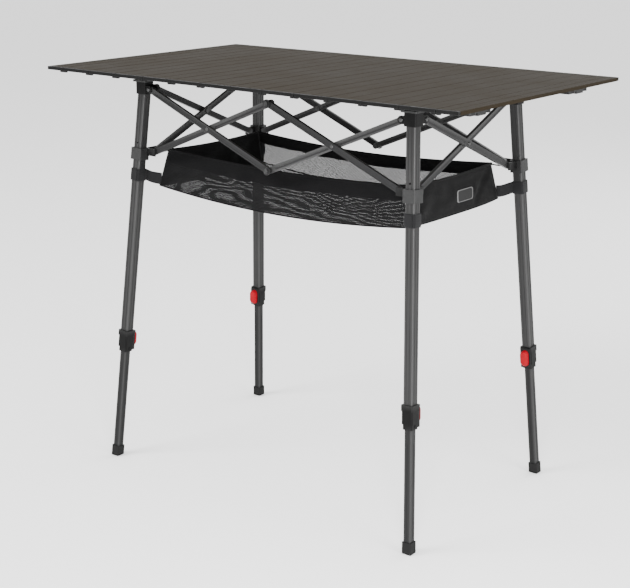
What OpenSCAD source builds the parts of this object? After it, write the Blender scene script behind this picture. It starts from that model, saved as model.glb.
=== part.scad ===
// Folding camp kitchen table: roll-up slatted top on two support rails, a scissor-bar frame that
// folds toward its middle, four telescopic splayed legs with push-button locks, a storage net.
// Millimetres, +Z up, origin on the floor under the middle of the top, X along the long side.

/* [Top] */
// length of the slatted top along X
top_length = 860; // [820:5:880]
// width of the slatted top along Y
top_width = 515; // [490:5:540]
// height of the top surface above the floor
top_height = 735; // [700:5:780]
// pitch of the full slats along X
slat_pitch = 65; // [62:0.5:66]
// thickness of a slat
slat_t = 6; // [6:0.5:7]
// gap between neighbouring slats
slat_gap = 0.6; // [0.4:0.1:1.2]
// thickness of the plastic cap on each end of a slat
slat_cap = 5.5; // [4:0.5:8]
// how far the cap's connector stands below the slat
cap_bump = 2.5; // [1:0.5:2.8]

/* [Rails] */
// length of each support rail
rail_length = 784; // [770:2:800]
// width of a support rail
rail_w = 14; // [12:1:18]
// distance of each rail from the middle of the top
rail_y = 157; // [150:1:160]
// width of the latch block on each rail end
latch_w = 60; // [50:1:70]

/* [Scissor frame] */
// half span of one scissor pair along the long side when the frame is open
module_span = 270; // [260:1:272]
// distance of the upper bar pivots below the top surface
pivot_drop = 38; // [37.5:0.5:40]
// vertical distance between the upper and lower bar pivots when the frame is open
scissor_h = 113.6; // [108:0.2:118]
// width of a scissor bar
bar_w = 11; // [10:0.5:12]
// thickness of a scissor bar
bar_t = 6; // [5:0.5:6]
// distance between the middle planes of two crossing bars
bar_step = 6.6; // [6.6:0.1:6.8]
// radius of the pivot pins
pin_r = 2; // [1.5:0.1:2.4]
// radial clearance of a pin in its hole
pin_play = 0.2; // [0.15:0.05:0.4]

/* [Legs] */
// distance from a long-side bar pivot to the leg's axis
reach_x = 17.5; // [17.3:0.1:18.5]
// distance from a short-side bar pivot to the leg's axis
reach_y = 22.6; // [20:0.2:23]
// outward run along X for each millimetre of height
splay_x = 0.0679; // [0.06:0.001:0.07]
// outward run along Y for each millimetre of height
splay_y = 0.0767; // [0.07:0.001:0.08]
// width of the square upper tube
upper_w = 17; // [16.4:0.1:17]
// wall of the upper tube
upper_wall = 1.3; // [1:0.1:1.4]
// width of the square lower tube
lower_w = 13.6; // [13:0.1:13.6]
// width of the lock sleeve
sleeve_w = 21; // [20.8:0.2:23]
// height of the lock sleeve
sleeve_h = 41; // [41:1:44]
// width of the rubber foot
foot_w = 17.5; // [16.5:0.5:19]
// height of the rubber foot
foot_h = 19; // [14:1:22]
// how far the lock button stands out of its sleeve
button_out = 8.5; // [5:0.5:9]
// travel of the lock button
button_travel = 2.4; // [2:0.1:2.4]

/* [Storage net] */
// length of the storage net
net_l = 540; // [520:2:544]
// width of the storage net
net_w = 296; // [280:2:298]
// distance of the net's top edge below the top surface
net_drop = 151; // [150:1:160]
// depth of the storage net
net_depth = 76; // [50:1:78]
// thickness of the net's fabric as a solid wall
net_t = 1.5; // [1:0.1:2]

/* [Hidden] */
$fn = 48;
slat_z = top_height - slat_t;
end_slat = (top_length - 12*slat_pitch)/2;
rail_h = 15.4;
rail_wall = 1.5;
rail_top = slat_z - 0.3;
rail_bottom = rail_top - rail_h;
latch_l = 16;
latch_r = 9;
bracket_top = rail_bottom - 0.4;
bar_l = sqrt(module_span*module_span + scissor_h*scissor_h);
bar_a = atan(scissor_h/module_span);
half_short = module_span/2;
pivot_z = top_height - pivot_drop;
splay = sqrt(splay_x*splay_x + splay_y*splay_y);
leg_a = atan(splay);
slider_d = scissor_h/cos(leg_a);
low_z = pivot_z - scissor_h;
leg_x = module_span + reach_x;
leg_y = half_short + reach_y;
low_x = leg_x + splay_x*scissor_h;
low_y = leg_y + splay_y*scissor_h;
floor_d = pivot_z/cos(leg_a);
// heights above the floor of the lock sleeve's top, the upper tube's lower end and the lower tube's top
sleeve_top_z = 248;
upper_end_z = 214;
lower_top_z = 320;
sleeve_top_d = (pivot_z - sleeve_top_z)/cos(leg_a);
upper_l = (pivot_z - upper_end_z)/cos(leg_a);
upper_over = 9.5;
foot_base = 8;
leg_hole_d = 97.5;
// top bracket, its plate, and the cheeks and pin heads of its clevises
bracket_w = 22.6;
bracket_hollow = 19.6;
plate_w = 31;
plate_t = 3;
cheek_y = 8.15;
cheek_t = 2.5;
cheek_r = 6.5;
head_r = 4.5;
// slider, the lugs beside it, and the webbing loop below it
slider_w = 24;
slider_h = 21.5;
slider_low = 14;
slider_play = 0.35;
lug_t = 3;
lug_h = 13;
lug_over = 6;
lug_root = 10.6;
strap_out = 21;
strap_in = 17.9;
strap_h = 23;
strap_top_d = 144;
link_t = 1.4;
// lock button, its flange behind the sleeve's face and the play around it
button_w = 14;
button_l = 30;
button_flange = 1;
button_play = 0.3;
button_drop = 19.6;
net_top = top_height - net_drop;
button_back = upper_w/2 + 0.5 + button_travel;
sleeve_front = button_back + 1.8;
surround_w = 19.6;
// webbing tail and elastic at each of the net's corners
tail_drop = 164;
tail_l = 19.6;
tail_t = 1.4;
tail_h = 20;
elastic_r = 1.2;
elastic_l = 14.5;
c_top = [0.36, 0.34, 0.31];
c_plastic = [0.12, 0.12, 0.12];
c_bar = [0.30, 0.30, 0.31];
c_leg = [0.36, 0.36, 0.37];
c_red = [0.85, 0.16, 0.18];
c_net = [0.15, 0.15, 0.16];

// square prism with rounded long edges, standing on z = 0
module rprism(w, l, r) {
    translate([-w/2 + r, -w/2, 0]) cube([w - 2*r, w, l]);
    translate([-w/2, -w/2 + r, 0]) cube([w, w - 2*r, l]);
    for (a = [-1, 1], b = [-1, 1]) translate([a*(w/2 - r), b*(w/2 - r), 0]) cylinder(r = r, h = l);
}

// frame of one leg: origin at its top pivot, z along the leg, foot at negative z
module leg_frame(sx, sy) {
    translate([sx*leg_x, sy*leg_y, pivot_z])
        rotate(a = leg_a, v = [sy*splay_y, -sx*splay_x, 0]) children();
}

// one slat, x0 is its low-x edge and len its width along X
module slat(x0, len, left_bump, right_bump) {
    g = slat_gap/2;
    body = top_width/2 - slat_cap;
    color(c_top) difference() {
        translate([x0 + g, -body, slat_z]) cube([len - 2*g, 2*body, slat_t]);
        for (k = [0, 1]) translate([x0 + g + 2 + k*(len/2 - 1.2), -body - 1, slat_z - 1])
            cube([len/2 - 2*g - 2.2, 2*body + 2, slat_t - 1]);
        translate([x0 + len/2 - 0.7, -body - 1, top_height - 0.6]) cube([1.4, 2*body + 2, 1]);
    }
    color(c_plastic) for (s = [-1, 1]) {
        translate([x0 + g, s*(body + slat_cap/2) - slat_cap/2, slat_z]) cube([len - 2*g, slat_cap, slat_t]);
        if (left_bump) translate([x0 + g, s*(body + slat_cap/2) - slat_cap/2, slat_z - cap_bump])
            cube([7, slat_cap, cap_bump]);
        if (right_bump) translate([x0 + len - g - 7, s*(body + slat_cap/2) - slat_cap/2, slat_z - cap_bump])
            cube([7, slat_cap, cap_bump]);
    }
}
module full_slat(k) slat(-top_length/2 + end_slat + (k - 2)*slat_pitch, slat_pitch, true, true);

// two support rails with a latch block on each end
module support_rails() {
    color(c_leg) for (s = [-1, 1]) translate([-rail_length/2, s*rail_y - rail_w/2, rail_bottom])
        difference() {
            cube([rail_length, rail_w, rail_h]);
            translate([-1, rail_wall, rail_wall])
                cube([rail_length + 2, rail_w - 2*rail_wall, rail_h - 2*rail_wall]);
        }
    color(c_plastic) for (s = [-1, 1], e = [-1, 1])
        translate([e*(rail_length + latch_l)/2, s*rail_y, 0]) {
            translate([-latch_l/2, -latch_w/2 + 8, rail_top - 8]) cube([latch_l, latch_w - 16, 8]);
            translate([-latch_l/2, -12, rail_bottom + 3]) cube([latch_l, 24, rail_h - 3]);
            for (t = [-1, 1]) translate([0, t*(latch_w/2 - latch_r), rail_bottom + 5])
                cylinder(r = latch_r, h = rail_h - 5);
        }
}

// scissor bar lying along +X from its first pivot, thickness along Y
// holes: [first, middle, last] pivot holes; pins: the pins this bar carries toward dy
module bar_blank(holes) {
    color(c_bar) difference() {
        union() {
            translate([0, -bar_t/2, -bar_w/2]) cube([bar_l, bar_t, bar_w]);
            for (x = [0, bar_l]) translate([x, bar_t/2, 0]) rotate([90, 0, 0]) cylinder(r = bar_w/2, h = bar_t);
        }
        for (k = [0, 1, 2]) if (holes[k]) translate([k*bar_l/2, bar_t, 0]) rotate([90, 0, 0])
            cylinder(r = pin_r + pin_play, h = 2*bar_t);
        for (s = [-1, 1], k = [0, 1]) translate([k*bar_l/2 + 14, s*bar_t/2 - 0.4, -bar_w/2 + 3])
            cube([bar_l/2 - 28, 0.8, 2.4]);
    }
}
// pin from a bar through its neighbour at distance x along the bar, toward side s, with a round head
module bar_pin(x, s) {
    reach = bar_step + bar_t/2;
    color(c_plastic) translate([x, 0, 0]) {
        rotate([s > 0 ? -90 : 90, 0, 0]) cylinder(r = pin_r, h = reach + 0.3);
        translate([0, s*(reach + 0.3), 0]) rotate([s > 0 ? -90 : 90, 0, 0]) cylinder(r = head_r, h = 1.6);
    }
}
// knob on the outer side of the joint between two scissor pairs
module mid_knob(x, s) {
    color(c_plastic) translate([x, s*(bar_t/2), 0]) rotate([s > 0 ? -90 : 90, 0, 0]) {
        cylinder(r = 7, h = 2.5);
        translate([0, 0, 2.5]) cylinder(r = head_r, h = 2);
    }
}

// the four bars of a long side, written for the -Y side, m = 1 keeps it, m = -1 mirrors it to +Y
module long_down(m, x, dy) translate([x, m*(-leg_y + dy), pivot_z]) rotate([0, bar_a, 0]) children();
module long_up(m, x, dy) translate([x, m*(-leg_y + dy), low_z]) rotate([0, -bar_a, 0]) children();
module long_1(m) long_down(m, -module_span, -bar_step/2) {
    bar_blank([true, false, false]);
    bar_pin(bar_l/2, m);
    bar_pin(bar_l, m);
    mid_knob(bar_l, -m);
}
module long_2(m) long_up(m, -module_span, bar_step/2) {
    bar_blank([false, true, true]);
    end_boss(0, -m);
}
module long_3(m) long_up(m, 0, bar_step/2) {
    bar_blank([true, true, true]);
}
module long_4(m) long_down(m, 0, -bar_step/2) {
    bar_blank([false, false, false]);
    bar_pin(0, m);
    bar_pin(bar_l/2, m);
    mid_knob(0, -m);
    end_boss(bar_l, -m);
}
// low boss on a bar end that faces the slider's lug
module end_boss(x, s) {
    color(c_plastic) translate([x, s*(bar_t/2), 0]) rotate([s > 0 ? -90 : 90, 0, 0]) cylinder(r = 4, h = 0.4);
}

// the two bars of a short side, written for the +X side, m = -1 mirrors them to -X
module short_down(m) translate([m*(leg_x + bar_step/2), -half_short, pivot_z])
    rotate([0, 0, 90]) rotate([0, bar_a, 0]) children();
module short_up(m) translate([m*(leg_x - bar_step/2), -half_short, low_z])
    rotate([0, 0, 90]) rotate([0, -bar_a, 0]) children();
module short_1(m) short_down(m) {
    bar_blank([true, false, false]);
    bar_pin(bar_l/2, m);
    end_boss(bar_l, -m);
}
module short_2(m) short_up(m) {
    bar_blank([false, true, true]);
    end_boss(0, -m);
}

// cheek pair with pin for one bar end, pointing along -X from the leg, d is the pivot's distance
module clevis(d, bar_side) {
    for (s = [-1, 1]) {
        translate([-d, s*cheek_y - cheek_t/2, -cheek_r]) cube([d - 10, cheek_t, 2*cheek_r]);
        translate([-d, s*cheek_y + cheek_t/2, 0]) rotate([90, 0, 0]) cylinder(r = cheek_r, h = cheek_t);
    }
    translate([-d, cheek_y + cheek_t/2, 0]) rotate([90, 0, 0]) cylinder(r = pin_r, h = 2*cheek_y + cheek_t);
    translate([-d, (bar_t - bar_side*bar_step)/2, 0]) rotate([90, 0, 0]) cylinder(r = head_r, h = bar_t);
}

// top bracket of one leg; fx and fy say on which side of the middle plane the bar ends sit
module top_bracket(sx, sy, fx, fy) color(c_plastic) translate([sx*leg_x, sy*leg_y, 0]) {
    difference() {
        union() {
            translate([0, 0, pivot_z - 9]) rprism(bracket_w, bracket_top - pivot_z + 9, 2);
            translate([0, 0, bracket_top - plate_t]) rprism(plate_w, plate_t, 3);
        }
        translate([-bracket_hollow/2, -bracket_hollow/2, pivot_z - 10])
            cube([bracket_hollow, bracket_hollow, 22.2]);
    }
    translate([0, 0, pivot_z]) rotate([0, 0, atan2(-sx*splay_x, sy*splay_y)]) rotate([0, 90, 0])
        translate([0, 0, -13]) cylinder(r = 2.5, h = 26);
    translate([0, 0, pivot_z]) mirror([sx > 0 ? 0 : 1, 0, 0]) clevis(reach_x, sy*fx);
    translate([0, 0, pivot_z]) rotate([0, 0, sy > 0 ? 90 : -90]) clevis(reach_y, -sx*sy*fy);
}

module upper_leg(sx, sy) color(c_leg) leg_frame(sx, sy) difference() {
    translate([0, 0, -upper_l]) rprism(upper_w, upper_l + upper_over, 1.5);
    translate([0, 0, -floor_d]) rprism(upper_w - 2*upper_wall, floor_d + 20, 0.8);
    for (a = [0, 90, 180, 270], g = [-1, 1]) rotate([0, 0, a])
        translate([upper_w/2 - 0.4, g*3 - 0.6, -sleeve_top_d + 2]) cube([1, 1.2, sleeve_top_d]);
    rotate([0, 0, atan2(-sx*splay_x, sy*splay_y)]) rotate([0, 90, 0])
        translate([0, 0, -15]) cylinder(r = 2.8, h = 30);
    translate([0, 0, -leg_hole_d]) rotate([-sy*90, 0, 0]) cylinder(r = 1.8, h = 20);
}

// slider on the upper leg with a lug for each of the two lower bar ends
module slider(sx, sy, fx, fy) color(c_plastic) {
    bore = upper_w + 2*slider_play;
    leg_frame(sx, sy) translate([0, 0, -slider_d - slider_low]) difference() {
        rprism(slider_w, slider_h, 2);
        translate([-bore/2, -bore/2, -1]) cube([bore, bore, slider_h + 2.5]);
    }
    near_x = module_span - lug_over;
    near_y = half_short - lug_over;
    far_x = low_x - lug_root;
    far_y = low_y - lug_root;
    lug_y = leg_y + fx*bar_step/2 + bar_t/2 + 1;
    lug_x = leg_x + fy*bar_step/2 + bar_t/2 + 1;
    translate([sx > 0 ? near_x : -far_x, sy > 0 ? lug_y : -lug_y - lug_t, low_z - lug_h/2])
        cube([far_x - near_x, lug_t, lug_h]);
    translate([sx > 0 ? lug_x : -lug_x - lug_t, sy > 0 ? near_y : -far_y, low_z - lug_h/2])
        cube([lug_t, far_y - near_y, lug_h]);
}

// webbing loop round the upper leg below the slider
module leg_strap(sx, sy) color(c_net) leg_frame(sx, sy) {
    difference() {
        translate([-strap_out/2, -strap_out/2, -strap_top_d - strap_h]) cube([strap_out, strap_out, strap_h]);
        translate([-strap_in/2, -strap_in/2, -strap_top_d - strap_h - 1]) cube([strap_in, strap_in, strap_h + 2]);
    }
    translate([sx > 0 ? -strap_out/2 : strap_out/2 - link_t, -5, -strap_top_d - 2])
        cube([link_t, 10, strap_top_d + 2 - slider_d - slider_low]);
}

// lock sleeve on the lower end of the upper leg
module lock_sleeve(sx, sy) color(c_plastic) leg_frame(sx, sy) translate([0, 0, -sleeve_top_d]) difference() {
    union() {
        translate([0, 0, -10]) rprism(sleeve_w + 2, 10, 2.5);
        translate([0, 0, -32]) rprism(sleeve_w, 32, 2.5);
        translate([0, 0, -sleeve_h]) rprism(sleeve_w - 3, sleeve_h, 2);
        translate([-surround_w/2, sy > 0 ? -sleeve_front : 0, -38]) cube([surround_w, sleeve_front, 36.8]);
    }
    translate([0, 0, -34.1]) rprism(upper_w, 40, 1.5);
    translate([0, 0, -sleeve_h - 1]) rprism(lower_w + 0.7, sleeve_h + 2, 0.8);
    translate([0, 0, -button_drop]) rotate([sy > 0 ? 90 : -90, 0, 0]) {
        grown_pill(button_play, 20);
        grown_pill(button_flange + button_play, button_back + 0.7);
    }
}
// upright pill along z from the origin, w wide and l tall
module pill(w, l, h) {
    translate([-w/2, -l/2 + w/2, 0]) cube([w, l - w, h]);
    for (s = [-1, 1]) translate([0, s*(l - w)/2, 0]) cylinder(r = w/2, h = h);
}
// the button's outline made larger all round by grow
module grown_pill(grow, h) pill(button_w + 2*grow, button_l + 2*grow, h);
module lock_button(sx, sy) color(c_red) leg_frame(sx, sy) translate([0, 0, -sleeve_top_d - button_drop])
    rotate([sy > 0 ? 90 : -90, 0, 0]) {
        translate([0, 0, button_back]) grown_pill(button_flange, 0.6);
        translate([0, 0, button_back + 0.5]) grown_pill(0, 0.9 + button_out);
        translate([0, 0, button_back + 1.3 + button_out]) grown_pill(-0.8, 0.6);
    }

module lower_leg(sx, sy) color(c_leg) leg_frame(sx, sy) difference() {
    translate([0, 0, -floor_d + foot_base]) rprism(lower_w, (lower_top_z - foot_base)/cos(leg_a), 1.4);
    translate([0, 0, -floor_d - 8]) rprism(lower_w - 2.4, 400, 0.5);
    for (a = [0, 90, 180, 270]) rotate([0, 0, a])
        translate([lower_w/2 - 0.3, -1, -floor_d + foot_h + 6]) cube([1, 2, 160]);
}
module foot(sx, sy) color(c_plastic) difference() {
    leg_frame(sx, sy) difference() {
        translate([0, 0, -floor_d - 6]) rprism(foot_w, foot_h + 6, 2);
        translate([0, 0, -floor_d + foot_base]) rprism(lower_w, 30, 1.4);
    }
    translate([sx*(leg_x + splay_x*pivot_z) - 40, sy*(leg_y + splay_y*pivot_z) - 40, -80]) cube([80, 80, 80]);
}

// storage net: open-topped tray of thin fabric with a webbing tail and an elastic at each corner
module storage_net() color(c_net) {
    difference() {
        translate([-net_l/2, -net_w/2, net_top - net_depth]) cube([net_l, net_w, net_depth]);
        translate([-net_l/2 + net_t, -net_w/2 + net_t, net_top - net_depth + net_t])
            cube([net_l - 2*net_t, net_w - 2*net_t, net_depth]);
    }
    for (sx = [-1, 1], sy = [-1, 1]) {
        translate([sx*net_l/2, sy*net_w/2, pivot_z - tail_drop]) rotate([0, 0, atan2(sy*10, sx*14)])
            translate([-1.2, -tail_t/2, 0]) cube([tail_l, tail_t, tail_h]);
        translate([sx*(net_l/2 - 1), sy*(net_w/2 - 1), net_top - 3]) rotate([0, 0, atan2(sy*6, sx*16)])
            rotate([0, 90, 0]) translate([0, 0, -0.6]) cylinder(r = elastic_r, h = elastic_l);
    }
}

// one module for each node
module slat_01() slat(-top_length/2, end_slat, false, true);
module slat_02() full_slat(2);
module slat_03() full_slat(3);
module slat_04() full_slat(4);
module slat_05() full_slat(5);
module slat_06() full_slat(6);
module slat_07() full_slat(7);
module slat_08() full_slat(8);
module slat_09() full_slat(9);
module slat_10() full_slat(10);
module slat_11() full_slat(11);
module slat_12() full_slat(12);
module slat_13() full_slat(13);
module slat_14() slat(top_length/2 - end_slat, end_slat, true, false);
module top_bracket_fl() top_bracket(-1, -1, 1, 1);
module upper_leg_fl() upper_leg(-1, -1);
module slider_fl() slider(-1, -1, -1, -1);
module leg_strap_fl() leg_strap(-1, -1);
module lock_sleeve_fl() lock_sleeve(-1, -1);
module lock_button_fl() lock_button(-1, -1);
module lower_leg_fl() lower_leg(-1, -1);
module foot_fl() foot(-1, -1);
module top_bracket_fr() top_bracket(1, -1, -1, 1);
module upper_leg_fr() upper_leg(1, -1);
module slider_fr() slider(1, -1, 1, -1);
module leg_strap_fr() leg_strap(1, -1);
module lock_sleeve_fr() lock_sleeve(1, -1);
module lock_button_fr() lock_button(1, -1);
module lower_leg_fr() lower_leg(1, -1);
module foot_fr() foot(1, -1);
module top_bracket_br() top_bracket(1, 1, -1, -1);
module upper_leg_br() upper_leg(1, 1);
module slider_br() slider(1, 1, 1, 1);
module leg_strap_br() leg_strap(1, 1);
module lock_sleeve_br() lock_sleeve(1, 1);
module lock_button_br() lock_button(1, 1);
module lower_leg_br() lower_leg(1, 1);
module foot_br() foot(1, 1);
module top_bracket_bl() top_bracket(-1, 1, 1, -1);
module upper_leg_bl() upper_leg(-1, 1);
module slider_bl() slider(-1, 1, -1, 1);
module leg_strap_bl() leg_strap(-1, 1);
module lock_sleeve_bl() lock_sleeve(-1, 1);
module lock_button_bl() lock_button(-1, 1);
module lower_leg_bl() lower_leg(-1, 1);
module foot_bl() foot(-1, 1);
module bar_front_1() long_1(1);
module bar_front_2() long_2(1);
module bar_front_3() long_3(1);
module bar_front_4() long_4(1);
module bar_back_1() long_1(-1);
module bar_back_2() long_2(-1);
module bar_back_3() long_3(-1);
module bar_back_4() long_4(-1);
module bar_right_1() short_1(1);
module bar_right_2() short_2(1);
module bar_left_1() short_1(-1);
module bar_left_2() short_2(-1);

slat_01();
slat_02();
slat_03();
slat_04();
slat_05();
slat_06();
slat_07();
slat_08();
slat_09();
slat_10();
slat_11();
slat_12();
slat_13();
slat_14();
support_rails();
top_bracket_fl();
upper_leg_fl();
slider_fl();
leg_strap_fl();
lock_sleeve_fl();
lock_button_fl();
lower_leg_fl();
foot_fl();
top_bracket_fr();
upper_leg_fr();
slider_fr();
leg_strap_fr();
lock_sleeve_fr();
lock_button_fr();
lower_leg_fr();
foot_fr();
top_bracket_br();
upper_leg_br();
slider_br();
leg_strap_br();
lock_sleeve_br();
lock_button_br();
lower_leg_br();
foot_br();
top_bracket_bl();
upper_leg_bl();
slider_bl();
leg_strap_bl();
lock_sleeve_bl();
lock_button_bl();
lower_leg_bl();
foot_bl();
bar_front_1();
bar_front_2();
bar_front_3();
bar_front_4();
bar_back_1();
bar_back_2();
bar_back_3();
bar_back_4();
bar_right_1();
bar_right_2();
bar_left_1();
bar_left_2();
storage_net();
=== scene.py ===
import math
import bmesh
import bpy
from mathutils import Matrix, Vector, noise


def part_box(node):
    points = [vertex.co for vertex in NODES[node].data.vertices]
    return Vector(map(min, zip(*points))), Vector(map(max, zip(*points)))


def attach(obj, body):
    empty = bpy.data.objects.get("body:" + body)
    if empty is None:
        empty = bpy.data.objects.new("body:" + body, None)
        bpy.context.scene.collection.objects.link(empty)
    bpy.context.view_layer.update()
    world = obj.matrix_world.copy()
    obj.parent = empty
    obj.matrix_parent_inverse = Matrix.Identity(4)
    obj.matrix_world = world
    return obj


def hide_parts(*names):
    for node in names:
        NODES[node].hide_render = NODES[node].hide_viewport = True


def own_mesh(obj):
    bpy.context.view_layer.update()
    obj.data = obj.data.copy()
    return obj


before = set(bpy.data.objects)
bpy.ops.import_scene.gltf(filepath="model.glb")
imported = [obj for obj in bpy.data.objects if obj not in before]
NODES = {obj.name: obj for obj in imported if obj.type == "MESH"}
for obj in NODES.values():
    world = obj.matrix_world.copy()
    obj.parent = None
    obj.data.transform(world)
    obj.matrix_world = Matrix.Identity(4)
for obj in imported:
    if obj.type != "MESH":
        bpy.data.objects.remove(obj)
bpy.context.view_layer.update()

X, Y, Z = 0, 1, 2

# The legs: the signs of each one's x and y, where their axes cross the height of the top pivots,
# and how far they spread for each metre down.
LEGS = {"fl": (-1, -1), "fr": (1, -1), "br": (1, 1), "bl": (-1, 1)}
LEG_X, LEG_Y, PIVOT_Z = 0.2875, 0.1576, 0.697
SPLAY_X, SPLAY_Y = 0.0679, 0.0767
LEG_TILT = math.atan(math.hypot(SPLAY_X, SPLAY_Y))


# ---------------------------------------------------------------- materials

MIX_A, MIX_B, MIX_RESULT = 6, 7, 2      # the colour sockets of a Mix node


class Shader:
    """One material's node tree, built from procedural nodes only."""

    def __init__(self, name, color, rough, metallic=0.0, spec=0.5):
        self.mat = bpy.data.materials.new(name)
        self.mat.use_nodes = True
        self.mat.diffuse_color = (*color, 1)
        self.tree = self.mat.node_tree
        self.bsdf = self.tree.nodes["Principled BSDF"]
        self.bsdf.inputs["Base Color"].default_value = (*color, 1)
        self.bsdf.inputs["Roughness"].default_value = rough
        self.bsdf.inputs["Metallic"].default_value = metallic
        self.bsdf.inputs["Specular IOR Level"].default_value = spec
        self.normal = None

    def node(self, kind, **props):
        made = self.tree.nodes.new(kind)
        for key, value in props.items():
            setattr(made, key, value)
        return made

    def link(self, output, socket):
        self.tree.links.new(output, socket)

    def coords(self, scale=(1, 1, 1)):
        """Object coordinates, so that a pattern keeps its real size."""
        place = self.node("ShaderNodeTexCoord")
        mapping = self.node("ShaderNodeMapping")
        mapping.inputs["Scale"].default_value = scale
        self.link(place.outputs["Object"], mapping.inputs["Vector"])
        return mapping.outputs["Vector"]

    def xyz(self):
        """Object coordinates as three outputs."""
        split = self.node("ShaderNodeSeparateXYZ")
        self.link(self.coords(), split.inputs[0])
        return split.outputs

    def noise(self, scale, stretch=(1, 1, 1), detail=4.0):
        tex = self.node("ShaderNodeTexNoise")
        tex.inputs["Scale"].default_value = scale
        tex.inputs["Detail"].default_value = detail
        tex.inputs["Roughness"].default_value = 0.55
        self.link(self.coords(stretch), tex.inputs["Vector"])
        return tex.outputs["Fac"]

    def math(self, operation, *values):
        made = self.node("ShaderNodeMath", operation=operation)
        for value, socket in zip(values, made.inputs):
            if hasattr(value, "is_linked"):
                self.link(value, socket)
            else:
                socket.default_value = value
        return made.outputs[0]

    def weigh(self, a, a_share, b, b_share):
        """Weighted sum of two outputs."""
        return self.math("ADD", self.math("MULTIPLY", a, a_share), self.math("MULTIPLY", b, b_share))

    def ramp(self, fac, stops):
        made = self.node("ShaderNodeValToRGB")
        points = made.color_ramp.elements
        while len(points) < len(stops):
            points.new(0.5)
        for point, (place, color) in zip(points, stops):
            point.position = place
            point.color = (*color, 1)
        self.link(fac, made.inputs["Fac"])
        return made.outputs["Color"]

    def remap(self, fac, start, end, low=0.0, high=1.0):
        """What lies between start and end, spread between low and high."""
        made = self.node("ShaderNodeMapRange")
        made.inputs["From Min"].default_value = start
        made.inputs["From Max"].default_value = end
        made.inputs["To Min"].default_value = low
        made.inputs["To Max"].default_value = high
        self.link(fac, made.inputs["Value"])
        return made.outputs["Result"]

    def rough(self, fac, low, high):
        self.link(self.remap(fac, 0.3, 0.7, low, high), self.bsdf.inputs["Roughness"])

    def bump(self, height, distance, strength):
        """Adds a bump on top of the ones before it."""
        made = self.node("ShaderNodeBump")
        made.inputs["Strength"].default_value = strength
        made.inputs["Distance"].default_value = distance
        self.link(height, made.inputs["Height"])
        if self.normal is not None:
            self.link(self.normal, made.inputs["Normal"])
        self.normal = made.outputs["Normal"]
        self.link(self.normal, self.bsdf.inputs["Normal"])


def shade(color, factor):
    return tuple(min(1.0, v * factor) for v in color)


def tone_and_painted_edge_highlight(s, base, fac, low, high, edge=None):
    """Base colour with slow variation, and, where an edge colour is given, a painted highlight along convex
    edges, broken into patches.
    """
    color = s.ramp(fac, [(0.3, shade(base, low)), (0.5, base), (0.7, shade(base, high))])
    if edge:
        # painted highlight: convex edges, found by their pointiness, are mixed in patches towards the
        # lighter edge colour
        geometry = s.node("ShaderNodeNewGeometry")
        painted_highlight_mask = s.remap(geometry.outputs["Pointiness"], 0.54, 0.64)
        mix = s.node("ShaderNodeMix", data_type="RGBA")
        s.link(s.math("MULTIPLY", painted_highlight_mask, s.noise(900.0, detail=2.0)), mix.inputs["Factor"])
        s.link(color, mix.inputs[MIX_A])
        mix.inputs[MIX_B].default_value = (*edge, 1)
        color = mix.outputs[MIX_RESULT]
    s.link(color, s.bsdf.inputs["Base Color"])


def anodised(name, base, rough, metallic, along, edge=None, spec=0.2):
    """Extruded aluminium: fine die lines along one axis, soft mottling from anodising."""
    s = Shader(name, base, rough, metallic, spec)
    stretch = [90.0, 90.0, 90.0]
    stretch[along] = 1.2
    lines = s.noise(14.0, tuple(stretch), detail=3.0)
    cloud = s.noise(9.0, detail=5.0)
    tone_and_painted_edge_highlight(s, base, s.weigh(cloud, 0.75, lines, 0.25), 0.88, 1.13, edge)
    s.rough(s.weigh(lines, 0.5, cloud, 0.5), rough - 0.06, rough + 0.07)
    s.bump(lines, 0.00006, 0.5)
    s.bump(s.noise(2600.0, detail=2.0), 0.00004, 0.35)
    return s.mat


def moulded(name, base, rough, grain=1400.0, depth=0.00005, edge=None, spec=0.5):
    """Moulded plastic: spark-eroded grain with slow gloss variation."""
    s = Shader(name, base, rough, 0.0, spec)
    cells = s.node("ShaderNodeTexVoronoi")
    cells.inputs["Scale"].default_value = grain
    s.link(s.coords(), cells.inputs["Vector"])
    slow = s.noise(45.0)
    tone_and_painted_edge_highlight(s, base, slow, 0.86, 1.18, edge)
    s.rough(slow, rough - 0.08, rough + 0.08)
    s.bump(cells.outputs["Distance"], depth, 0.6)
    return s.mat


def weave_height(s, pitch, axes):
    """Plain weave: two crossing sine sets along the given object axes."""
    place = s.xyz()
    waves = [s.math("SINE", s.math("MULTIPLY", place[axis], math.pi / pitch)) for axis in axes]
    return s.math("ABSOLUTE", s.weigh(waves[0], 0.5, waves[1], 0.5))


def fabric(name, base, rough, pitch, axes, fuzz):
    """Closely woven cloth."""
    s = Shader(name, base, rough, 0.0, 0.06)
    s.bsdf.inputs["Sheen Weight"].default_value = fuzz
    s.bsdf.inputs["Sheen Roughness"].default_value = 0.5
    weave = weave_height(s, pitch, axes)
    slow = s.noise(22.0, detail=5.0)
    tone_and_painted_edge_highlight(s, base, s.weigh(weave, 0.25, slow, 0.75), 0.7, 1.45)
    s.rough(slow, rough - 0.08, rough + 0.08)
    s.bump(weave, 0.00025, 0.7)
    s.bump(slow, 0.002, 0.35)
    return s.mat


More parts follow.
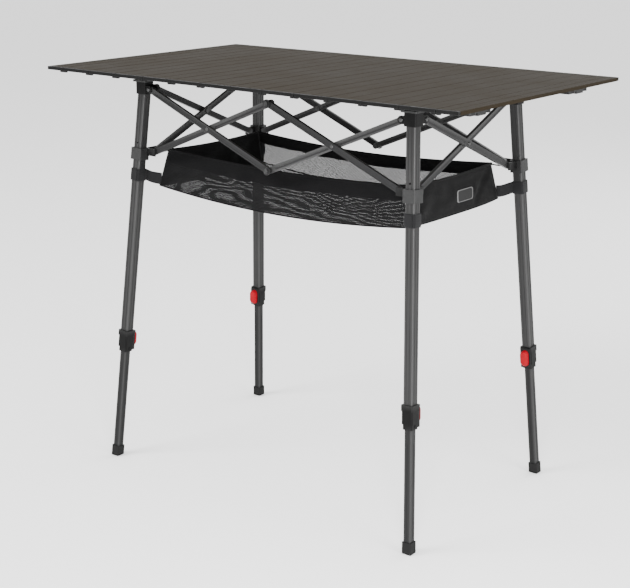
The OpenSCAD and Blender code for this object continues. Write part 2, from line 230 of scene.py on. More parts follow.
def mesh_cloth(name, base, pitch, threshold, axes):
    """Open mesh cloth: threads round holes in staggered rows, smaller the higher the threshold."""
    s = Shader(name, base, 0.7, 0.0, 0.06)
    s.bsdf.inputs["Sheen Weight"].default_value = 0.04
    place = s.xyz()
    rows = []
    for shift in (0.0, 0.5):
        waves = []
        for axis, length in zip(axes, (pitch, 1.5 * pitch)):
            moved_on = s.math("ADD", place[axis], shift * length)
            waves.append(s.math("COSINE", s.math("MULTIPLY", moved_on, 2 * math.pi / length)))
        rows.append(s.math("ADD", *waves))
    field = s.math("MAXIMUM", *rows)
    hole = s.math("GREATER_THAN", field, threshold)
    s.link(s.math("SUBTRACT", 1.0, hole), s.bsdf.inputs["Alpha"])
    tone_and_painted_edge_highlight(s, base, s.noise(30.0), 0.7, 1.4)
    s.bump(field, 0.0003, 0.6)
    return s.mat


def grey(tone, blue=None):
    return (tone, tone, tone if blue is None else blue)


# each edge colour is the lighter colour of a painted highlight along that material's convex edges
MAT = {
    "slat": anodised("slat_anodised", (0.0158, 0.0119, 0.0070), rough=0.56, metallic=0.0, along=Y,
                     spec=0.025),
    "rail": anodised("rail_anodised", grey(0.012), rough=0.45, metallic=0.0, along=X, spec=0.15),
    "leg": anodised("leg_anodised", (0.027, 0.0268, 0.0268), rough=0.38, metallic=0.40, along=Z,
                    edge=grey(0.06), spec=0.10),
    "tube": anodised("tube_anodised", grey(0.0145, 0.0146), rough=0.38, metallic=0.35, along=Z,
                     edge=grey(0.05), spec=0.10),
    "bar": anodised("bar_anodised", grey(0.0175, 0.0177), rough=0.36, metallic=0.35, along=X,
                    edge=grey(0.10), spec=0.12),
    "plate": anodised("plate_steel", grey(0.028), rough=0.45, metallic=0.3, along=X, spec=0.10),
    "rivet": anodised("rivet_steel", grey(0.06), rough=0.3, metallic=0.9, along=Z),
    "plastic": moulded("plastic_black", grey(0.0028), rough=0.45, edge=grey(0.02), spec=0.08),
    "slider": moulded("plastic_slider", grey(0.0065, 0.0066), rough=0.42, edge=grey(0.04), spec=0.10),
    "red": moulded("plastic_red", (0.23, 0.0009, 0.0065), rough=0.42, grain=900.0, depth=0.00003,
                   edge=(0.32, 0.006, 0.010), spec=0.08),
    "rubber": moulded("rubber_foot", grey(0.007), rough=0.72, grain=700.0, depth=0.00012, spec=0.12),
    "patch": moulded("patch_grey", grey(0.013), rough=0.55, grain=1100.0, depth=0.00004, spec=0.10),
    "patch_rim": moulded("patch_rim", grey(0.100), rough=0.55, grain=1100.0, depth=0.00004, spec=0.10),
    "band_x": fabric("net_fabric_long", grey(0.0022, 0.0024), rough=0.8, pitch=0.0009, axes=(X, Z),
                     fuzz=0.03),
    "band_y": fabric("net_fabric_short", grey(0.0019, 0.0020), rough=0.8, pitch=0.0009, axes=(Y, Z),
                     fuzz=0.03),
    "web": fabric("webbing_black", grey(0.008, 0.0085), rough=0.7, pitch=0.0016, axes=(X, Z), fuzz=0.06),
    "cordage": fabric("elastic_cord", grey(0.006), rough=0.7, pitch=0.0012, axes=(X, Z), fuzz=0.06),
    "mesh_x": mesh_cloth("net_mesh_long", grey(0.003, 0.0032), pitch=0.0030, threshold=1.58, axes=(X, Z)),
    "mesh_z": mesh_cloth("net_mesh_floor", grey(0.003, 0.0032), pitch=0.0030, threshold=1.66, axes=(X, Y)),
}


# ---------------------------------------------------------------- mesh helpers

def new_object(name, verts, faces, mat, smooth=True):
    mesh = bpy.data.meshes.new(name)
    mesh.from_pydata([tuple(v) for v in verts], [], faces)
    mesh.validate()
    ob = bpy.data.objects.new(name, mesh)
    bpy.context.scene.collection.objects.link(ob)
    mesh.materials.append(mat)
    bm = bmesh.new()
    bm.from_mesh(mesh)
    bmesh.ops.recalc_face_normals(bm, faces=bm.faces)
    bm.to_mesh(mesh)
    bm.free()
    for face in mesh.polygons:
        face.use_smooth = smooth
    return ob


def bevel(ob, width, segments=2):
    mod = ob.modifiers.new("edges", "BEVEL")
    mod.width = width
    mod.segments = segments
    mod.limit_method = "ANGLE"
    mod.angle_limit = math.radians(35)


def sharp_smooth(ob, angle=32.0):
    """Smooth shading that keeps edges sharper than the angle."""
    for face in ob.data.polygons:
        face.use_smooth = True
    ob.data.set_sharp_from_angle(angle=math.radians(angle))


def loft(rings, looped=False):
    """Surface through rings of points, with flat ends, or from the last ring back to the first."""
    n, count = len(rings[0]), len(rings)
    verts = [tuple(p) for ring in rings for p in ring]
    faces = []
    for j in range(count if looped else count - 1):
        here, ahead = j * n, (j + 1) % count * n
        for i in range(n):
            k = (i + 1) % n
            faces.append((here + i, here + k, ahead + k, ahead + i))
    if not looped:
        faces.append(tuple(range(n)))
        faces.append(tuple((count - 1) * n + i for i in range(n - 1, -1, -1)))
    return verts, faces


def lathe(profile, steps):
    """Rings of (radius, height) round z."""
    turns = [2 * math.pi * i / steps for i in range(steps)]
    return loft([[(r * math.cos(a), r * math.sin(a), h) for a in turns] for r, h in profile])


def box_data(lo, hi):
    verts = [(x, y, z) for x in (lo[X], hi[X]) for y in (lo[Y], hi[Y]) for z in (lo[Z], hi[Z])]
    faces = [(0, 1, 3, 2), (4, 6, 7, 5), (0, 4, 5, 1), (2, 3, 7, 6), (0, 2, 6, 4), (1, 5, 7, 3)]
    return verts, faces


def joined(parts):
    verts, faces = [], []
    for part_verts, part_faces in parts:
        first = len(verts)
        verts += part_verts
        faces += [tuple(i + first for i in face) for face in part_faces]
    return verts, faces


def moved(data, matrix):
    verts, faces = data
    return [tuple(matrix @ Vector(p)) for p in verts], faces


def arc(cx, cy, r, start, end, steps):
    """Points on an arc, with its angles in degrees."""
    angles = [math.radians(start + (end - start) * i / steps) for i in range(steps + 1)]
    return [(cx + r * math.cos(a), cy + r * math.sin(a)) for a in angles]


def rounded_outline(half_u, half_v, r, steps=6):
    """Rectangle with rounded corners."""
    points = []
    for cu, cv, start in ((1, 1, 0), (-1, 1, 90), (-1, -1, 180), (1, -1, 270)):
        points += arc(cu * (half_u - r), cv * (half_v - r), r, start, start + 90, steps)
    return points


def tube_along(points, r, flat=1.0, steps=8):
    """Closed tube through points, its height flat times its width."""
    last = len(points) - 1
    rings = []
    for i, p in enumerate(points):
        ahead = Vector(points[min(last, i + 1)]) - Vector(points[max(0, i - 1)])
        side = ahead.cross(Vector((0, 0, 1))).normalized()
        up = side.cross(ahead.normalized())
        turns = [2 * math.pi * k / steps for k in range(steps)]
        rings.append([Vector(p) + side * (r * math.cos(t)) + up * (r * flat * math.sin(t)) for t in turns])
    return loft(rings)


def leg_matrix(sx, sy):
    """From a leg's own frame, with z along the leg and its origin at the pivots, to the model's."""
    axis = Vector((sy * SPLAY_Y, -sx * SPLAY_X, 0)).normalized()
    return Matrix.Translation((sx * LEG_X, sy * LEG_Y, PIVOT_Z)) @ Matrix.Rotation(LEG_TILT, 4, axis)


# ---------------------------------------------------------------- camera, light, floor

CAMERA_AT = (1.448, -1.919, 1.023)
CAMERA_TOWARDS = (-0.5846, 0.7628, -0.2766)
CAMERA_ROLL = 0.006


def look(loc, forward, roll):
    """Matrix of a camera from its place, the direction that it looks in and its roll."""
    forward = Vector(forward).normalized()
    level = forward.cross(Vector((0, 0, 1))).normalized()
    right = level * math.cos(roll) + level.cross(forward) * math.sin(roll)
    turn = Matrix((right, right.cross(forward), -forward)).transposed()
    return Matrix.Translation(loc) @ turn.to_4x4()


cam_data = bpy.data.cameras.new("camera")
cam_data.lens = 78.34
cam_data.sensor_width = 36.0
cam = bpy.data.objects.new("camera", cam_data)
bpy.context.scene.collection.objects.link(cam)
cam.matrix_world = look(CAMERA_AT, CAMERA_TOWARDS, CAMERA_ROLL)
bpy.context.scene.camera = cam

world = bpy.data.worlds.new("studio")
bpy.context.scene.world = world
world.use_nodes = True
background = world.node_tree.nodes["Background"]
background.inputs["Color"].default_value = (1.0, 1.0, 1.0, 1)
background.inputs["Strength"].default_value = 1.7


def area(name, loc, target, size, power):
    light = bpy.data.lights.new(name, "AREA")
    light.shape = "RECTANGLE"
    light.size, light.size_y = size
    light.energy = power
    ob = bpy.data.objects.new(name, light)
    ob.location = loc
    ob.rotation_euler = (Vector(target) - Vector(loc)).to_track_quat("-Z", "Y").to_euler()
    bpy.context.scene.collection.objects.link(ob)


area("key", (-1.6, -2.4, 2.6), (0, 0, 0.4), (1.5, 1.5), 130)
area("front", (1.15, -1.45, 0.75), (0.3, -0.16, 0.45), (0.5, 0.9), 46)
area("fill", (2.8, -0.4, 1.4), (0, 0, 0.4), (1.4, 1.4), 52)
area("back", (0.6, 2.8, 2.0), (0, 0, 0.5), (2.0, 1.2), 42)

FLOOR_HALF, FLOOR_Z = 14.0, -0.0012
white = Shader("floor_white", (0.95, 0.95, 0.95), 0.85)
white.rough(white.noise(3.0), 0.8, 0.9)
corners = [(x, y, FLOOR_Z) for x in (-FLOOR_HALF, FLOOR_HALF) for y in (-FLOOR_HALF, FLOOR_HALF)]
floor = new_object("floor", corners, [(0, 2, 3, 1)], white.mat, False)


# ---------------------------------------------------------------- rigid CAD nodes: materials and soft edges

BRACKET_PLATE_T = 0.0031            # what is above this depth in a bracket is its steel plate
SLEEVE_HALF = 0.0121                # what is further than this from the leg's axis is the slider's lugs


def finish_node(name, mat, width=0.0005, segments=2, second=None, picks=None):
    """Materials and bevelled edges of a CAD node. picks chooses the faces with the second material."""
    ob = NODES[name]
    ob.data.materials.clear()
    ob.data.materials.append(MAT[mat])
    if second:
        ob.data.materials.append(MAT[second])
        for face in ob.data.polygons:
            face.material_index = 1 if picks(face.center) else 0
    if width:
        bevel(ob, width, segments)
    sharp_smooth(ob, 35)


for leg in LEGS:
    finish_node(f"upper_leg_{leg}", "leg", 0)
    finish_node(f"lower_leg_{leg}", "tube", 0)
    plate_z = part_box(f"top_bracket_{leg}")[1][2] - BRACKET_PLATE_T
    finish_node(f"top_bracket_{leg}", "plastic", 0.0006, 2, "plate", lambda c: c.z > plate_z)
    to_leg = leg_matrix(*LEGS[leg]).inverted()
    finish_node(f"slider_{leg}", "slider", 0.0008, 2, "plastic",
                lambda c: max(abs((to_leg @ c).x), abs((to_leg @ c).y)) > SLEEVE_HALF)
    finish_node(f"lock_sleeve_{leg}", "plastic", 0.0008)
    finish_node(f"foot_{leg}", "rubber", 0.0012, 3)
for name in NODES:
    if name.startswith("bar_"):
        finish_node(name, "bar", 0.0009, 3)
finish_node("support_rails", "rail", 0.0008)


# ---------------------------------------------------------------- lock buttons

BUTTON_W, BUTTON_L = 0.0138, 0.0298
SLOPE_REACH = 0.0150                # from the button's middle to where its slope is whole

# rows of the button from its root to its front: place behind the front, how far the outline is
# drawn in, and how far its lower end has sloped up
BUTTON_ROWS = ((-0.0100, 0.0, 0.0), (-0.0066, 0.0, 0.0), (-0.0040, 0.0001, 0.0009),
               (-0.0018, 0.0002, 0.0024), (-0.0007, 0.0006, 0.0034), (-0.0002, 0.0013, 0.0040),
               (0.0, 0.0028, 0.0046))


def stadium(width, length):
    """Upright pill outline."""
    r = width / 2
    straight = (length - width) / 2
    return arc(0, straight, r, 0, 180, 10) + arc(0, -straight, r, 180, 360, 10)


def lock_button(leg, sx, sy):
    """Pill-shaped push button that slopes back at its lower end, with a domed front."""
    m = leg_matrix(sx, sy)
    to_leg = m.inverted()
    local = [to_leg @ v.co for v in NODES[f"lock_button_{leg}"].data.vertices]
    front = max(-sy * p.y for p in local)
    mid_z = (min(p.z for p in local) + max(p.z for p in local)) / 2
    rings = []
    for depth, inset, slope in BUTTON_ROWS:
        ring = []
        for u, v in stadium(BUTTON_W, BUTTON_L):
            x = u * (1 - inset / (BUTTON_W / 2))
            z = v * (1 - inset / (BUTTON_L / 2))
            below = max(0.0, -z / SLOPE_REACH)
            above = max(0.0, z / SLOPE_REACH)
            z += slope * (below - 0.25 * above)
            ring.append((x, -sy * (front + depth), mid_z + z))
        rings.append(ring)
    v, f = moved(loft(rings), m)
    ob = new_object(f"button_{leg}", v, f, MAT["red"])
    sharp_smooth(ob, 50)
    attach(ob, f"lock_button_{leg}")
    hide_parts(f"lock_button_{leg}")


for leg, (sx, sy) in LEGS.items():
    lock_button(leg, sx, sy)


# ---------------------------------------------------------------- slats

SLATS = 14
TOP_HALF_Y = 0.2575                 # half of the top's short side
CAP_L = 0.0055                      # end caps, along the slat
SKIN_END = TOP_HALF_Y - CAP_L
SKIN_RINGS = 13
GAP = 0.0001                        # between a slat's pieces
EDGE_R = 0.0012                     # rounding of the long edges
GROOVE, GROOVE_DEPTH = 0.0007, 0.0006       # half width and depth of the centre groove
FLAT = 0.0009                       # strips beside the edges that keep the top's shading flat
SKIN_T, WALL_T, WEB_HALF = 0.0013, 0.0016, 0.0011
CONNECTOR_W, CONNECTOR_DROP = 0.0072, 0.0025
CONNECTOR_ROOT = 0.001              # how far the connectors reach up into the caps
TONGUE_L, TONGUE_INSET = 0.014, 0.0012
TONGUE_Z = (0.0002, 0.0022)         # above the section's lower edge


def slat_profile(x0, x1, low, top):
    """Section of a slat: a grooved skin with rounded edges on a wall at each edge and a web between."""
    mid = (x0 + x1) / 2
    under = top - SKIN_T
    profile = arc(x0 + EDGE_R, top - EDGE_R, EDGE_R, 180, 90, 4)
    profile += [(x0 + EDGE_R + FLAT, top), (mid - GROOVE - FLAT, top), (mid - GROOVE, top)]
    profile += [(mid - GROOVE * 0.4, top - GROOVE_DEPTH), (mid + GROOVE * 0.4, top - GROOVE_DEPTH)]
    profile += [(mid + GROOVE, top), (mid + GROOVE + FLAT, top), (x1 - EDGE_R - FLAT, top)]
    profile += arc(x1 - EDGE_R, top - EDGE_R, EDGE_R, 90, 0, 4)
    profile += [(x1, low), (x1 - WALL_T, low), (x1 - WALL_T, under)]
    profile += [(mid + WEB_HALF, under), (mid + WEB_HALF, low)]
    profile += [(mid - WEB_HALF, low), (mid - WEB_HALF, under)]
    profile += [(x0 + WALL_T, under), (x0 + WALL_T, low), (x0, low)]
    return profile


def cap_data(k, x0, x1, low, top):
    """A lip over each end of a slat, with half connectors below it and tongues under the slat."""
    sides = [(x0, x0 + CONNECTOR_W), (x1 - CONNECTOR_W, x1)]
    if k == 1:
        sides = sides[1:]
    if k == SLATS:
        sides = sides[:1]
    parts = []
    for s in (-1, 1):
        ya, yb = sorted((s * SKIN_END, s * TOP_HALF_Y))
        yc, yd = sorted((s * (SKIN_END - TONGUE_L), s * SKIN_END))
        parts.append(box_data((x0 + GAP, ya, low), (x1 - GAP, yb, top - GAP)))
        for xa, xb in sides:
            foot, root = low - CONNECTOR_DROP + GAP, low + CONNECTOR_ROOT
            parts.append(box_data((xa + GAP, ya + 2 * GAP, foot), (xb - GAP, yb - 2 * GAP, root)))
            under, over = (low + z for z in TONGUE_Z)
            parts.append(box_data((xa + TONGUE_INSET, yc, under), (xb - TONGUE_INSET, yd, over)))
    return joined(parts)


def slat_pieces(k):
    node = f"slat_{k:02d}"
    body = "top_base" if k == 1 else node
    lo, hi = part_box(node)
    x0, x1 = lo[X] + GAP, hi[X] - GAP
    low, top = lo[Z] + CONNECTOR_DROP, hi[Z]
    profile = slat_profile(x0, x1, low, top)
    stations = [SKIN_END * (2 * i / (SKIN_RINGS - 1) - 1) for i in range(SKIN_RINGS)]
    v, f = loft([[(x, y, z) for x, z in profile] for y in stations])
    metal = new_object(f"slat_skin_{k:02d}", v, f, MAT["slat"])
    sharp_smooth(metal, 40)
    v, f = cap_data(k, x0, x1, low, top)
    caps = new_object(f"slat_caps_{k:02d}", v, f, MAT["plastic"])
    bevel(caps, 0.0009, 3)
    sharp_smooth(caps, 40)
    for ob in (metal, caps):
        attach(ob, body)
    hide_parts(node)


for k in range(1, SLATS + 1):
    slat_pieces(k)


# ---------------------------------------------------------------- rivets on the scissor bars

SPAN, RISE = 0.270, 0.1136          # between a bar's end pivots, along the side and upwards
BAR_HALF_T = 0.003
BAR_STEP = 0.0033                   # half the distance between two crossing bars' middles
CLEVIS_OUT = 0.0094                 # from a leg's pivot out to the clevis's outer face
RIVET_R, CLEVIS_RIVET_R, RIVET_H = 0.0032, 0.0036, 0.0012
MID_Z = PIVOT_Z - RISE / 2          # where two bars cross


def rivet(name, body, loc, normal, r=RIVET_R):
    """Domed rivet head, from rows of shares of its radius and its height."""
    rows = ((1.0, 0.0), (1.0, 0.35), (0.9, 0.75), (0.6, 0.97), (0.15, 1.0))
    head = lathe([(r * wide, RIVET_H * high) for wide, high in rows], 24)
    turn = Vector(normal).to_track_quat("Z", "Y").to_matrix().to_4x4()
    v, f = moved(head, Matrix.Translation(loc) @ turn)
    ob = new_object(name, v, f, MAT["rivet"])
    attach(ob, body)


for m, side in ((1, "front"), (-1, "back")):
    y_out = -m * (LEG_Y + BAR_STEP + BAR_HALF_T)
    for k, x in ((1, -SPAN / 2), (4, SPAN / 2)):
        rivet(f"rivet_{side}_{k}", f"bar_{side}_{k}", (x, y_out, MID_Z), (0, -m, 0))
for m, side in ((1, "right"), (-1, "left")):
    x_out = m * (LEG_X + BAR_STEP + BAR_HALF_T)
    rivet(f"rivet_{side}_1", f"bar_{side}_1", (x_out, 0, MID_Z), (m, 0, 0))
for leg, (sx, sy) in LEGS.items():
    at_x = (sx * SPAN, sy * (LEG_Y + CLEVIS_OUT), PIVOT_Z)
    at_y = (sx * (LEG_X + CLEVIS_OUT), sy * SPAN / 2, PIVOT_Z)
    rivet(f"rivet_clevis_x_{leg}", f"corner_{leg}", at_x, (0, sy, 0), CLEVIS_RIVET_R)
    rivet(f"rivet_clevis_y_{leg}", f"corner_{leg}", at_y, (sx, 0, 0), CLEVIS_RIVET_R)


# ---------------------------------------------------------------- storage net: surfaces

NET_X0, NET_X1 = 0.268, 0.262       # half length at the floor and at the top edge
NET_Y0, NET_Y1 = 0.146, 0.127       # half width at the floor and at the top edge
NET_LOW, NET_TOP = 0.522, 0.585     # heights of the corners
NET_H = NET_TOP - NET_LOW
BAND = 0.66                         # where the solid top band starts, as a share of the wall's height
OVERLAP = 0.03                      # how far the mesh reaches behind the band, as such a share
FABRIC_T = 0.0011
BADGE_Y = 0.035                     # the badge's place on the right end
KEEP_X, KEEP_Y = 0.17, 0.17         # what stays of the net's length and width when the frame is folded


def between(a, b, t):
    return a + (b - a) * t


def sagging(height, sag, place, half, power=2):
    """Height of an edge that hangs between two corners, half to each side of the middle."""
    t = min(1.0, abs(place) / half)
    return height - sag * (1 - t ** power)


def net_bottom(x):
    return sagging(NET_LOW, 0.016, x, NET_X0)


def net_top_long(x):
    return sagging(NET_TOP, 0.011, x, NET_X1, 1.8)


def net_top_short(y):
    return sagging(NET_TOP, 0.004, y, NET_Y1)


def ripple(x, y, z, height, scale):
    return height * noise.noise(Vector((x * scale, y * scale, z * scale * 1.8)))


def grid(nu, nv, place):
    """Points of a grid: place(u, v) with u from -1 to 1 and v from 0 to 1, row by row."""
    return [place(-1 + 2 * i / nu, j / nv) for j in range(nv + 1) for i in range(nu + 1)]


def long_wall(s, v0, v1, nu, nv, wrinkles):
    """Part of a long wall, from v0 to v1 of the way from the floor to the top edge."""
    def place(u, share):
        v = between(v0, v1, share)
        x = u * between(NET_X0, NET_X1, v)
        z = between(net_bottom(u * NET_X0), net_top_long(u * NET_X1), v)
        ease = (1 - u ** 8) * math.sin(math.pi * min(1, max(0, v)))
        y = between(NET_Y0, NET_Y1, v) + 0.004 * ease - 0.006 * (1 - u ** 2) * v
        y += ripple(x, s, z, wrinkles, 28.0) * ease
        z += ripple(x + 5.0, s, z, wrinkles * 0.5, 16.0) * ease
        return (x, s * y, z)
    return grid(nu, nv, place)


# folds in the ends: both ends of each fold as (y, z), its width and its depth
FOLDS = ((0.125, 0.582, 0.080, 0.550, 0.007, -0.0035), (0.080, 0.550, 0.070, 0.528, 0.008, -0.0025),
         (-0.13, 0.575, -0.02, 0.568, 0.006, -0.0030), (-0.02, 0.568, 0.12, 0.577, 0.006, -0.0022),
         (0.135, 0.530, 0.095, 0.545, 0.006, 0.0030), (-0.12, 0.535, -0.06, 0.552, 0.008, 0.0025))


def crease(y, z, y0, z0, y1, z1, width, depth):
    """Soft fold along a line on a short wall."""
    start, along, p = Vector((y0, z0)), Vector((y1 - y0, z1 - z0)), Vector((y, z))
    t = max(0.0, min(1.0, (p - start).dot(along) / along.length_squared))
    gap = (p - start - along * t).length
    return depth * math.exp(-(gap / width) ** 2) * (0.4 + 0.6 * math.sin(math.pi * t))


def short_x(s, y, v):
    """How far out a short wall is, without its fine wrinkles."""
    z = NET_LOW + NET_H * v
    u = max(-1.0, min(1.0, y / between(NET_Y0, NET_Y1, v)))
    ease = (1 - u ** 6) * math.sin(math.pi * max(0.0, min(1.0, v)))
    folds = sum(crease(y * s, z, *fold) for fold in FOLDS)
    return between(NET_X0, NET_X1, v) + ease * (0.002 + folds)


def short_wall(s, nu, nv, wrinkles):
    def place(u, v):
        y = u * between(NET_Y0, NET_Y1, v)
        z = between(NET_LOW - 0.004 * (1 - u ** 4), net_top_short(u * NET_Y1), v)
        ease = (1 - u ** 6) * math.sin(math.pi * v)
        calm = 0.25 if s > 0 and abs(y - BADGE_Y) < 0.03 else 1
        x = short_x(s, y, v) + ripple(s * 3.0, y, z, wrinkles, 24.0) * ease * calm
        return (s * x, y, z)
    return grid(nu, nv, place)


def net_floor(s, w0, w1, nu, nv):
    """Strip of the floor, from w0 to w1 of the half width."""
    def place(u, share):
        w = between(w0, w1, share)
        x, y = u * NET_X0, s * w * NET_Y0
        sag = 0.005 * (1 - w ** 2) * (1 - u ** 4)
        calm = (1 - w ** 6) * (1 - u ** 8) * (0.3 + 0.7 * min(1, w * 4))
        return (x, y, net_bottom(x) - sag + ripple(x, y, 0.0, 0.004, 14.0) * calm)
    return grid(nu, nv, place)


def cloth(name, points, nu, nv, mat, thick, body):
    """Sheet over a grid of points, with a thickness unless thick is 0."""
    faces = []
    for j in range(nv):
        for i in range(nu):
            a = j * (nu + 1) + i
            faces.append((a, a + 1, a + nu + 2, a + nu + 1))
    ob = new_object(name, points, faces, MAT[mat])
    if thick:
        mod = ob.modifiers.new("thickness", "SOLIDIFY")
        mod.thickness = thick
        mod.offset = 0.0
    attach(ob, body)
    return ob


# ---------------------------------------------------------------- storage net: pieces

def half(s):
    """The body that the front or the back half of the net rides on."""
    return "slider_fl" if s < 0 else "slider_bl"


LONG_SIDES = ((-1, "front"), (1, "back"))
ENDS = ((-1, "left", "slider_fl"), (1, "right", "slider_fr"))
for s, tag in LONG_SIDES:
    nu = 120
    low = long_wall(s, 0.0, BAND + OVERLAP, nu, 14, 0.006)
    high = long_wall(s, BAND, 1.0, nu, 8, 0.004)
    low_part = cloth(f"net_{tag}_mesh", low, nu, 14, "mesh_x", 0, half(s))
    band = cloth(f"net_{tag}_band", high, nu, 8, "band_x", FABRIC_T, half(s))
    if s < 0:
        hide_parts("storage_net")
    for ob in (low_part, band):
        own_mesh(ob)
for s, tag, body in ENDS:
    ob = cloth(f"net_{tag}_end", short_wall(s, 60, 16, 0.005), 60, 16, "band_y", FABRIC_T, body)
    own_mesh(ob)

# The floor is in strips, outermost first: start and end as a share of the half width, and what
# stays of the length when the frame is folded.
FLOOR_STRIPS = ((0.50, 1.00, KEEP_X), (0.34, 0.50, 0.11), (0.18, 0.34, 0.06), (0.0, 0.18, 0.03))
for s, tag in LONG_SIDES:
    for n, (w0, w1, keep) in enumerate(FLOOR_STRIPS):
        nu, nv = 110, round(26 * (w1 - w0))
        ob = cloth(f"net_floor_{tag}_{n}", net_floor(s, w0, w1, nu, nv), nu, nv, "mesh_z", 0, half(s))
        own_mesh(ob)


HEM_STEPS_X, HEM_STEPS_Y = 80, 40
BINDING = (0.0014, 1.6)             # half width, and height as a multiple of the width
SEAM = (0.0011, 1.2)


def hem_data(top, low):
    """A folded binding along a top edge and a seam along a lower edge."""
    return joined([tube_along(top, *BINDING), tube_along(low, *SEAM)])


for s, tag in LONG_SIDES:
    top = long_wall(s, 1.0, 1.0001, HEM_STEPS_X, 1, 0.0)[:HEM_STEPS_X + 1]
    low = long_wall(s, 0.0, 0.0001, HEM_STEPS_X, 1, 0.0)[:HEM_STEPS_X + 1]
    v, f = hem_data(top, low)
    ob = new_object(f"net_{tag}_hem", v, f, MAT["band_x"])
    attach(ob, half(s))
    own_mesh(ob)
for s, tag, body in ENDS:
    edges = short_wall(s, HEM_STEPS_Y, 1, 0.0)
    v, f = hem_data(edges[HEM_STEPS_Y + 1:], edges[:HEM_STEPS_Y + 1])
    ob = new_object(f"net_{tag}_hem", v, f, MAT["band_y"])
    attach(ob, body)
    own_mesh(ob)

# blank badge on the right end, bent to the fabric
BADGE_Z, BADGE_HALF_W, BADGE_HALF_H, BADGE_R = 0.546, 0.0250, 0.0104, 0.0045
outline = rounded_outline(BADGE_HALF_W, BADGE_HALF_H, BADGE_R)
for tag, scale, back, front, mat in (("rim", 1.0, -0.0010, 0.0012, "patch_rim"),
                                     ("face", 0.88, 0.0006, 0.0016, "patch")):
    rings = []
    for out in (back, front):
        places = [(BADGE_Y + u * scale, BADGE_Z + w * scale) for u, w in outline]
        rings.append([(short_x(1, y, (z - NET_LOW) / NET_H) + out, y, z) for y, z in places])
    v, f = loft(rings)
    badge = new_object(f"net_badge_{tag}", v, f, MAT[mat])
    bevel(badge, 0.0003, 2)
    sharp_smooth(badge)
    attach(badge, "slider_fr")
    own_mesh(badge)


# ---------------------------------------------------------------- webbing loops, tails and corner elastics

LOOP_HALF, LOOP_T = 0.0089, 0.0015  # half of the loop's inside, and the webbing's thickness
LOOP_R = 0.0016                     # rounding of its inner corners
LOOP_ROWS = (-0.1665, -0.1655, -0.1555, -0.1455, -0.1445)   # along the leg
SEWN_IN, SEWN_OUT, SEWN_HALF = 0.0103, 0.0119, 0.0065       # where the webbing is sewn on itself
SEWN_INSET = 0.0013                 # from the webbing's edges to that second layer
LINK_IN, LINK_OUT, LINK_HALF = 0.0091, 0.0105, 0.005        # the same for the link to the slider
LINK_Z = (-0.146, -0.1284)          # the link's ends, along the leg
TAIL_OUT, TAIL_T = 0.0098, 0.0014   # from the leg's axis to the tail's root, and its thickness
TAIL_Z = (-0.1650, -0.1450)         # the tail's edges there, along the leg
ELASTIC_R, ELASTIC_SAG = 0.0012, 0.002
SLIDER_EYE = (0.2838, 0.1560, 0.5810)       # where an elastic meets its slider
KNOT_ROWS = ((0.0004, -0.003), (0.0022, -0.0022), (0.0028, 0.0), (0.0022, 0.0022), (0.0004, 0.003))


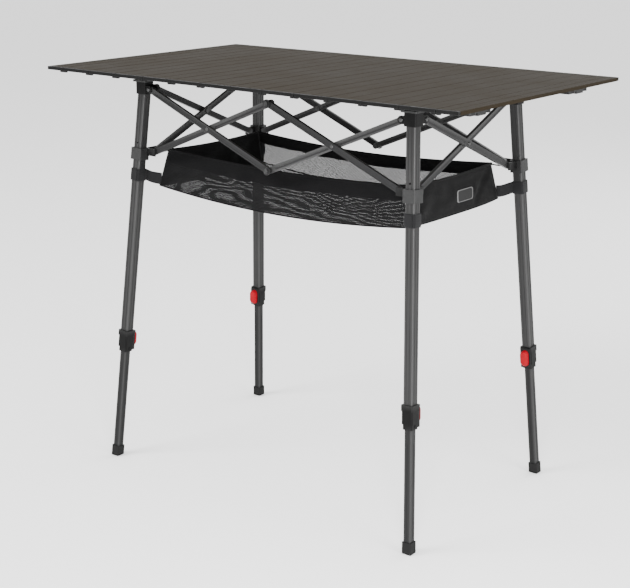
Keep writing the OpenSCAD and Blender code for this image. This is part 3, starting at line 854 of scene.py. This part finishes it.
def strap_loop(leg, sx, sy, m):
    """Webbing loop round a leg, slightly swollen in its middle, with a link up to the slider."""
    inner = rounded_outline(LOOP_HALF, LOOP_HALF, LOOP_R)
    outer = rounded_outline(LOOP_HALF + LOOP_T, LOOP_HALF + LOOP_T, LOOP_R + LOOP_T)
    rings = []
    for j, z in enumerate(LOOP_ROWS):
        swell = 1 + 0.03 * math.sin(math.pi * j / (len(LOOP_ROWS) - 1))
        rings.append([(x * swell, y * swell, z) for x, y in outer])
    for z in reversed(LOOP_ROWS):
        rings.append([(x, y, z) for x, y in inner])
    y0, y1 = sorted((sy * SEWN_IN, sy * SEWN_OUT))
    z0, z1 = LOOP_ROWS[0] + SEWN_INSET, LOOP_ROWS[-1] - SEWN_INSET
    sewn = box_data((-SEWN_HALF, y0, z0), (SEWN_HALF, y1, z1))
    x0, x1 = -sx * LINK_OUT, -sx * LINK_IN
    link = box_data((x0, -LINK_HALF, LINK_Z[0]), (x1, LINK_HALF, LINK_Z[1]))
    v, f = moved(joined([loft(rings, looped=True), sewn, link]), m)
    ob = new_object(f"strap_loop_{leg}", v, f, MAT["web"])
    bevel(ob, 0.0004, 2)
    sharp_smooth(ob, 40)
    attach(ob, f"slider_{leg}")
    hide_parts(f"leg_strap_{leg}")


def strap_tail(leg, sx, sy, m):
    """Short tail from the net's lower corner to the loop."""
    net_low = Vector((sx * (NET_X0 - 0.002), sy * (NET_Y0 - 0.001), NET_LOW + 0.0015))
    net_high = Vector((sx * (NET_X0 - 0.003), sy * (NET_Y0 - 0.003), NET_LOW + 0.0225))
    leg_low, leg_high = (m @ Vector((-sx * TAIL_OUT, -sy * TAIL_OUT, z)) for z in TAIL_Z)
    across = Vector((sx, sy, 0)).normalized().cross(Vector((0, 0, 1)))

    def place(u, t):
        w = (u + 1) / 2
        p = net_low.lerp(net_high, t).lerp(leg_low.lerp(leg_high, t), w)
        p += across * 0.0012 * math.sin(2 * math.pi * w) * (0.5 + t)
        p.z -= 0.0015 * math.sin(math.pi * w)
        return p
    points = grid(12, 6, place)
    tail = cloth(f"strap_tail_{leg}", points, 12, 6, "web", TAIL_T, f"slider_{leg}")


def corner_elastic(leg, sx, sy):
    """Elastic from the net's upper corner to the slider, with a knot on the net's side."""
    start = Vector((sx * NET_X1, sy * NET_Y1, NET_TOP - 0.0005))
    end = Vector((sx * SLIDER_EYE[X], sy * SLIDER_EYE[Y], SLIDER_EYE[Z]))
    points = []
    for i in range(13):
        p = start.lerp(end, i / 12)
        p.z -= ELASTIC_SAG * math.sin(math.pi * i / 12)
        points.append(p)
    knot = moved(lathe(KNOT_ROWS, 12), Matrix.Translation(start))
    v, f = joined([tube_along(points, ELASTIC_R), knot])
    ob = new_object(f"net_elastic_{leg}", v, f, MAT["cordage"])
    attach(ob, f"slider_{leg}")


for leg, (sx, sy) in LEGS.items():
    m = leg_matrix(sx, sy)
    strap_loop(leg, sx, sy, m)
    strap_tail(leg, sx, sy, m)
    corner_elastic(leg, sx, sy)
